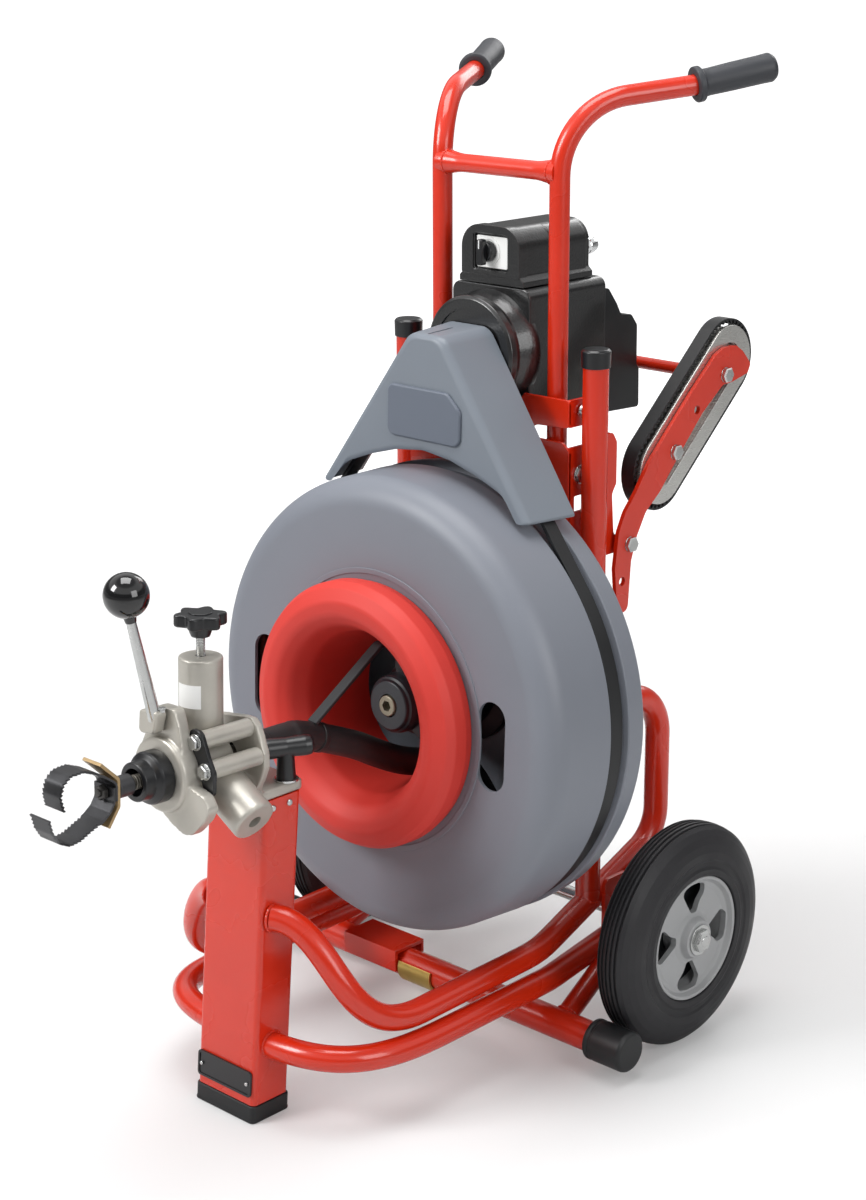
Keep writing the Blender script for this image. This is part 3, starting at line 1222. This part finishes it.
def saw_blade(points, teeth_from):
    """Bent strip with saw teeth on both edges beyond the distance teeth_from along it."""
    thick, width, pitch, depth, step = 2.2, 30, 4.4, 3.2, 0.6
    path = rounded(points, 5, 8, loop=False)
    done = 0.0
    rows = []  # y, z, distance along the blade
    for p, q in zip(path, path[1:]):
        length = math.hypot(q[0] - p[0], q[1] - p[1])
        count = max(1, int(length / step))
        for k in range(count):
            rows.append((p[0] + (q[0] - p[0]) * k / count, p[1] + (q[1] - p[1]) * k / count,
                         done + length * k / count))
        done += length
    rows.append((path[-1][0], path[-1][1], done))
    verts = []
    for i, (y, z, along) in enumerate(rows):
        normal = strip_normal(rows, i)
        half = width / 2
        if teeth_from < along < done - 1.0:
            half -= depth * (((along - teeth_from) / pitch) % 1.0)
        for sx, k in ((-1, -1), (1, -1), (1, 1), (-1, 1)):
            verts.append((sx * half, y + normal.x * thick / 2 * k, z + normal.y * thick / 2 * k))
    return outward(Geo(verts, skin_faces(len(rows), 4)))


holder = rounded([(-491, 34), (-469, 14, 5), (-469, -14, 5), (-482, -33)], 5, loop=False)
tilted("holder_strip", "cable", "cutter_holder", [bevel(strip(holder, 3.6, 27), 0.5, 2, 50)],
       "brass_plate")
upper_blade = [(-472.7, -7), (-472.7, 11), (-487, 21), (-497, 26.5), (-512, 32), (-527, 31),
               (-536, 24), (-539.5, 12), (-536, -2)]
lower_blade = [(-475.5, 7), (-475.5, -8), (-481, -17), (-490, -24), (-503, -29.5), (-517, -36),
               (-530, -38), (-543, -32), (-550, -21), (-554, -7)]
for tag, blade, teeth_from in (("upper", upper_blade, 44), ("lower", lower_blade, 40)):
    tilted(f"saw_blade_{tag}", "cable", f"cutter_blade_{tag}", [saw_blade(blade, teeth_from)],
           "blade_steel", angle=40, weighted=False)

# ------------------------------------------------------------------ stair climbers
# Oval belt frames behind the posts: centre, slope in degrees, half distance of end centres
CLIMB_Y, CLIMB_Z, CLIMB_ANGLE, CLIMB_HALF = 566, 677.5, 42, 79


def oval(r):
    return stadium(CLIMB_Y, CLIMB_Z, CLIMB_ANGLE, CLIMB_HALF, r)


pair("climber_shell", "frame", "climber_frame", [
    slab(oval(35), 26, on_yz(121), 0.8, 2, 50, [oval(31)]),
    slab(oval(38.4), 4, on_yz(145), 1.2, 4, 50, [oval(19)]),
    slab(oval(21), 8, on_yz(138.5), 0.6, 2, 50, [oval(18.4)]),
    plate(oval(20.5), 3, on_yz(137.5)),
    plate(oval(34.5), 4, on_yz(133))], "bright_alloy")


def cogged_belt(x0, x1, inner_r, outer_r, pitch=7.4, depth=3.4):
    """Belt round the oval with cogs on its inside."""
    c, s = math.cos(CLIMB_ANGLE * DEG), math.sin(CLIMB_ANGLE * DEG)
    arc, half = PI * outer_r, CLIMB_HALF
    around = 4 * half + 2 * PI * outer_r
    count = int(around / pitch) * 4
    verts = []
    for i in range(count):
        d = around * i / count
        cog_r = inner_r if i % 4 in (0, 1) else inner_r + depth
        if d < 2 * half:
            base, normal = -half + d, (0, -1)
        elif d < 2 * half + arc:
            a = (d - 2 * half) / outer_r - PI / 2
            base, normal = half, (math.cos(a), math.sin(a))
        elif d < 4 * half + arc:
            base, normal = half - (d - 2 * half - arc), (0, 1)
        else:
            a = (d - 4 * half - arc) / outer_r + PI / 2
            base, normal = -half, (math.cos(a), math.sin(a))
        for r, x in ((cog_r, x0), (outer_r, x0), (outer_r, x1), (cog_r, x1)):
            u, w = base + normal[0] * r, normal[1] * r
            verts.append((x, CLIMB_Y + c * u - s * w, CLIMB_Z + s * u + c * w))
    return outward(Geo(verts, skin_faces(count, 4, loop=True)))


pair("climber_tread", "frame", "climber_belt", [cogged_belt(128, 145, 40.4, 45.6)],
     "rubber_black", angle=30, weighted=False)


def climber_bolt(y, z, x0):
    return paint(merge(rod((x0, y, z), (155, y, z), 4.2),
                       washer((154.4, y, z), (155.6, y, z), 8.4),
                       hexhead((155.6, y, z), (161, y, z), 15.5, chamfer=1.6),
                       hexhead((x0 + 6, y, z), (x0, y, z), 14)), ZINC)


climber_arm = [  # y, z, corner radius
    (427, 479, 8), (444.5, 478, 8), (446.5, 502, 20), (449, 534, 24), (458, 560, 26),
    (473, 585, 20), (497, 603, 12), (520, 628, 26), (543, 652, 30), (570, 679, 30),
    (606, 705, 14), (624, 706, 8), (652, 712, 5), (657, 722, 4), (642, 738, 14),
    (628, 747, 16), (608, 747, 14), (592, 741, 14), (578, 729, 24), (545, 701, 30),
    (500, 660, 30), (478, 639, 30), (455, 609, 26), (438, 591, 24), (427, 570, 24),
    (421.5, 530, 26)]
pair("climber_arm", "frame", "climber_strap", [
    slab(rounded(climber_arm, 5), 5, on_yz(149.6), 0.9, 3, 50,
         [circle(560, 684, 5, 28), circle(434, 514, 5, 28)]),
    climber_bolt(610, 716, 125.4), climber_bolt(522, 643, 125.4),
    climber_bolt(446, 554, 132.4)], "red_powder_coat")
piece("climber_crossbar", "frame", "climber_rod",
      [rod((-125, 610, 714), (125, 610, 714), 7, edge=.5)], "red_powder_coat")


# ------------------------------------------------------------------ stage
def floor_material(name, rgb, rough, glow):
    """Matt floor that glows to the camera, from `glow` near the origin up to far_glow."""
    near, far, far_glow = 0.5, 4.5, 0.9
    material, surface = new_material(name)
    tree = material.node_tree
    light_path = tree.nodes.new("ShaderNodeLightPath")
    strength = add_node(tree, "Math", {0: light_path.outputs["Is Camera Ray"], 1: glow},
                        operation="MULTIPLY")
    position = tree.nodes.new("ShaderNodeNewGeometry").outputs["Position"]
    distance = add_node(tree, "VectorMath", {0: position}, operation="LENGTH")
    fade = add_node(tree, "MapRange", {
        "Value": distance.outputs["Value"], "From Min": near, "From Max": far,
        "To Min": glow, "To Max": far_glow}, interpolation_type="SMOOTHSTEP")
    feed(tree, strength, {1: fade.outputs["Result"]})
    feed(tree, surface, {
        "Base Color": (*linear(rgb), 1), "Roughness": rough, "Specular IOR Level": 0.2,
        "Emission Strength": strength.outputs[0], "Emission Color": (1, 1, 1, 1)})
    return material


FLOOR_R, FLOOR_Z, FLOOR_SIDES = 60, -0.0005, 96  # metres
floor_mesh = bpy.data.meshes.new("studio_floor")
floor_mesh.from_pydata([(x, y, FLOOR_Z) for x, y in circle(0, 0, FLOOR_R, FLOOR_SIDES)], [],
                       [tuple(range(FLOOR_SIDES))])
floor = bpy.data.objects.new("studio_floor", floor_mesh)
floor_mesh.materials.append(floor_material("floor_pale", (214, 214, 214), rough=0.75, glow=0.16))
bpy.context.scene.collection.objects.link(floor)


def studio_world():
    """White to the camera, banded by height in reflections, dim for other rays."""
    camera_strength, ambient_strength = 0.92, 0.36
    end_greys = (0.30, 0.34)  # straight down, straight up
    bands = ((0.10, 0.14), (0.30, 0.16), (0.44, 0.85), (0.72, 0.85), (0.86, 0.34))  # place, grey
    world = bpy.data.worlds.new("studio")
    world.use_nodes = True
    tree = world.node_tree
    background = next(n for n in tree.nodes if n.type == "BACKGROUND")
    rays = tree.nodes.new("ShaderNodeLightPath").outputs
    coords = tree.nodes.new("ShaderNodeTexCoord").outputs["Generated"]
    height = add_node(tree, "SeparateXYZ", {0: coords}).outputs["Z"]
    ramp = add_node(tree, "ValToRGB", {"Fac": height})
    ramp.color_ramp.interpolation = "EASE"
    stops = ramp.color_ramp.elements
    for place, grey in bands:
        stops.new(place).color = (grey, grey, grey, 1)
    for i, grey in zip((0, len(stops) - 1), end_greys):
        stops[i].color = (grey, grey, grey, 1)
    # Mix inputs by number: 0 is the factor, 2 and 3 the float values at factor 0 and 1
    unseen = add_node(tree, "Mix", {0: rays["Is Glossy Ray"], 2: ambient_strength,
                                    3: ramp.outputs["Color"]}, data_type="FLOAT")
    seen = add_node(tree, "Mix", {0: rays["Is Camera Ray"], 2: unseen.outputs[0],
                                  3: camera_strength}, data_type="FLOAT")
    feed(tree, background, {"Color": (1, 1, 1, 1), "Strength": seen.outputs[0]})
    bpy.context.scene.world = world


studio_world()


def area_light(name, location, target, size, power):
    """Square light in metres and watts, facing target."""
    light = bpy.data.lights.new(name, "AREA")
    light.shape = "RECTANGLE"
    light.size = light.size_y = size
    light.energy = power
    ob = bpy.data.objects.new(name, light)
    bpy.context.scene.collection.objects.link(ob)
    ob.location = location
    aim = Vector(target) - Vector(location)
    ob.rotation_euler = aim.to_track_quat("-Z", "Y").to_euler()


area_light("key", (-1.6, -2.7, 2.7), target=(0, 0.3, 0.45), size=1.5, power=105)
area_light("top", (-0.2, 0.1, 3.3), target=(0, 0.3, 0.4), size=1.8, power=62)
area_light("fill", (3.0, 0.1, 1.6), target=(0, 0.3, 0.5), size=1.6, power=30)
area_light("rim", (-0.8, 3.4, 2.2), target=(0, 0.4, 0.6), size=1.6, power=26)


def add_camera(location, heading, down, roll, lens):
    """Camera turned left from +Y by heading, tipped down, then rolled (radians)."""
    forward = Vector((-math.sin(heading) * math.cos(down), math.cos(heading) * math.cos(down),
                      -math.sin(down)))
    level_right = Vector((math.cos(heading), math.sin(heading), 0))
    level_up = level_right.cross(forward)
    right = level_right * math.cos(roll) + level_up * math.sin(roll)
    up = level_up * math.cos(roll) - level_right * math.sin(roll)
    camera = bpy.data.cameras.new("camera")
    camera.lens = lens
    camera.sensor_width = 36
    camera.sensor_fit = "AUTO"
    camera.clip_end = 200
    ob = bpy.data.objects.new("camera", camera)
    bpy.context.scene.collection.objects.link(ob)
    facing = Matrix((right, up, -forward)).transposed().to_4x4()
    ob.matrix_world = Matrix.Translation(location) @ facing
    bpy.context.scene.camera = ob


add_camera((1.7100, -1.5088, 1.2431), heading=0.7577233856, down=0.2933537023,
           roll=-0.0035869, lens=71.4192)
bpy.context.scene.view_settings.view_transform = "Standard"
bpy.context.scene.view_settings.look = "None"
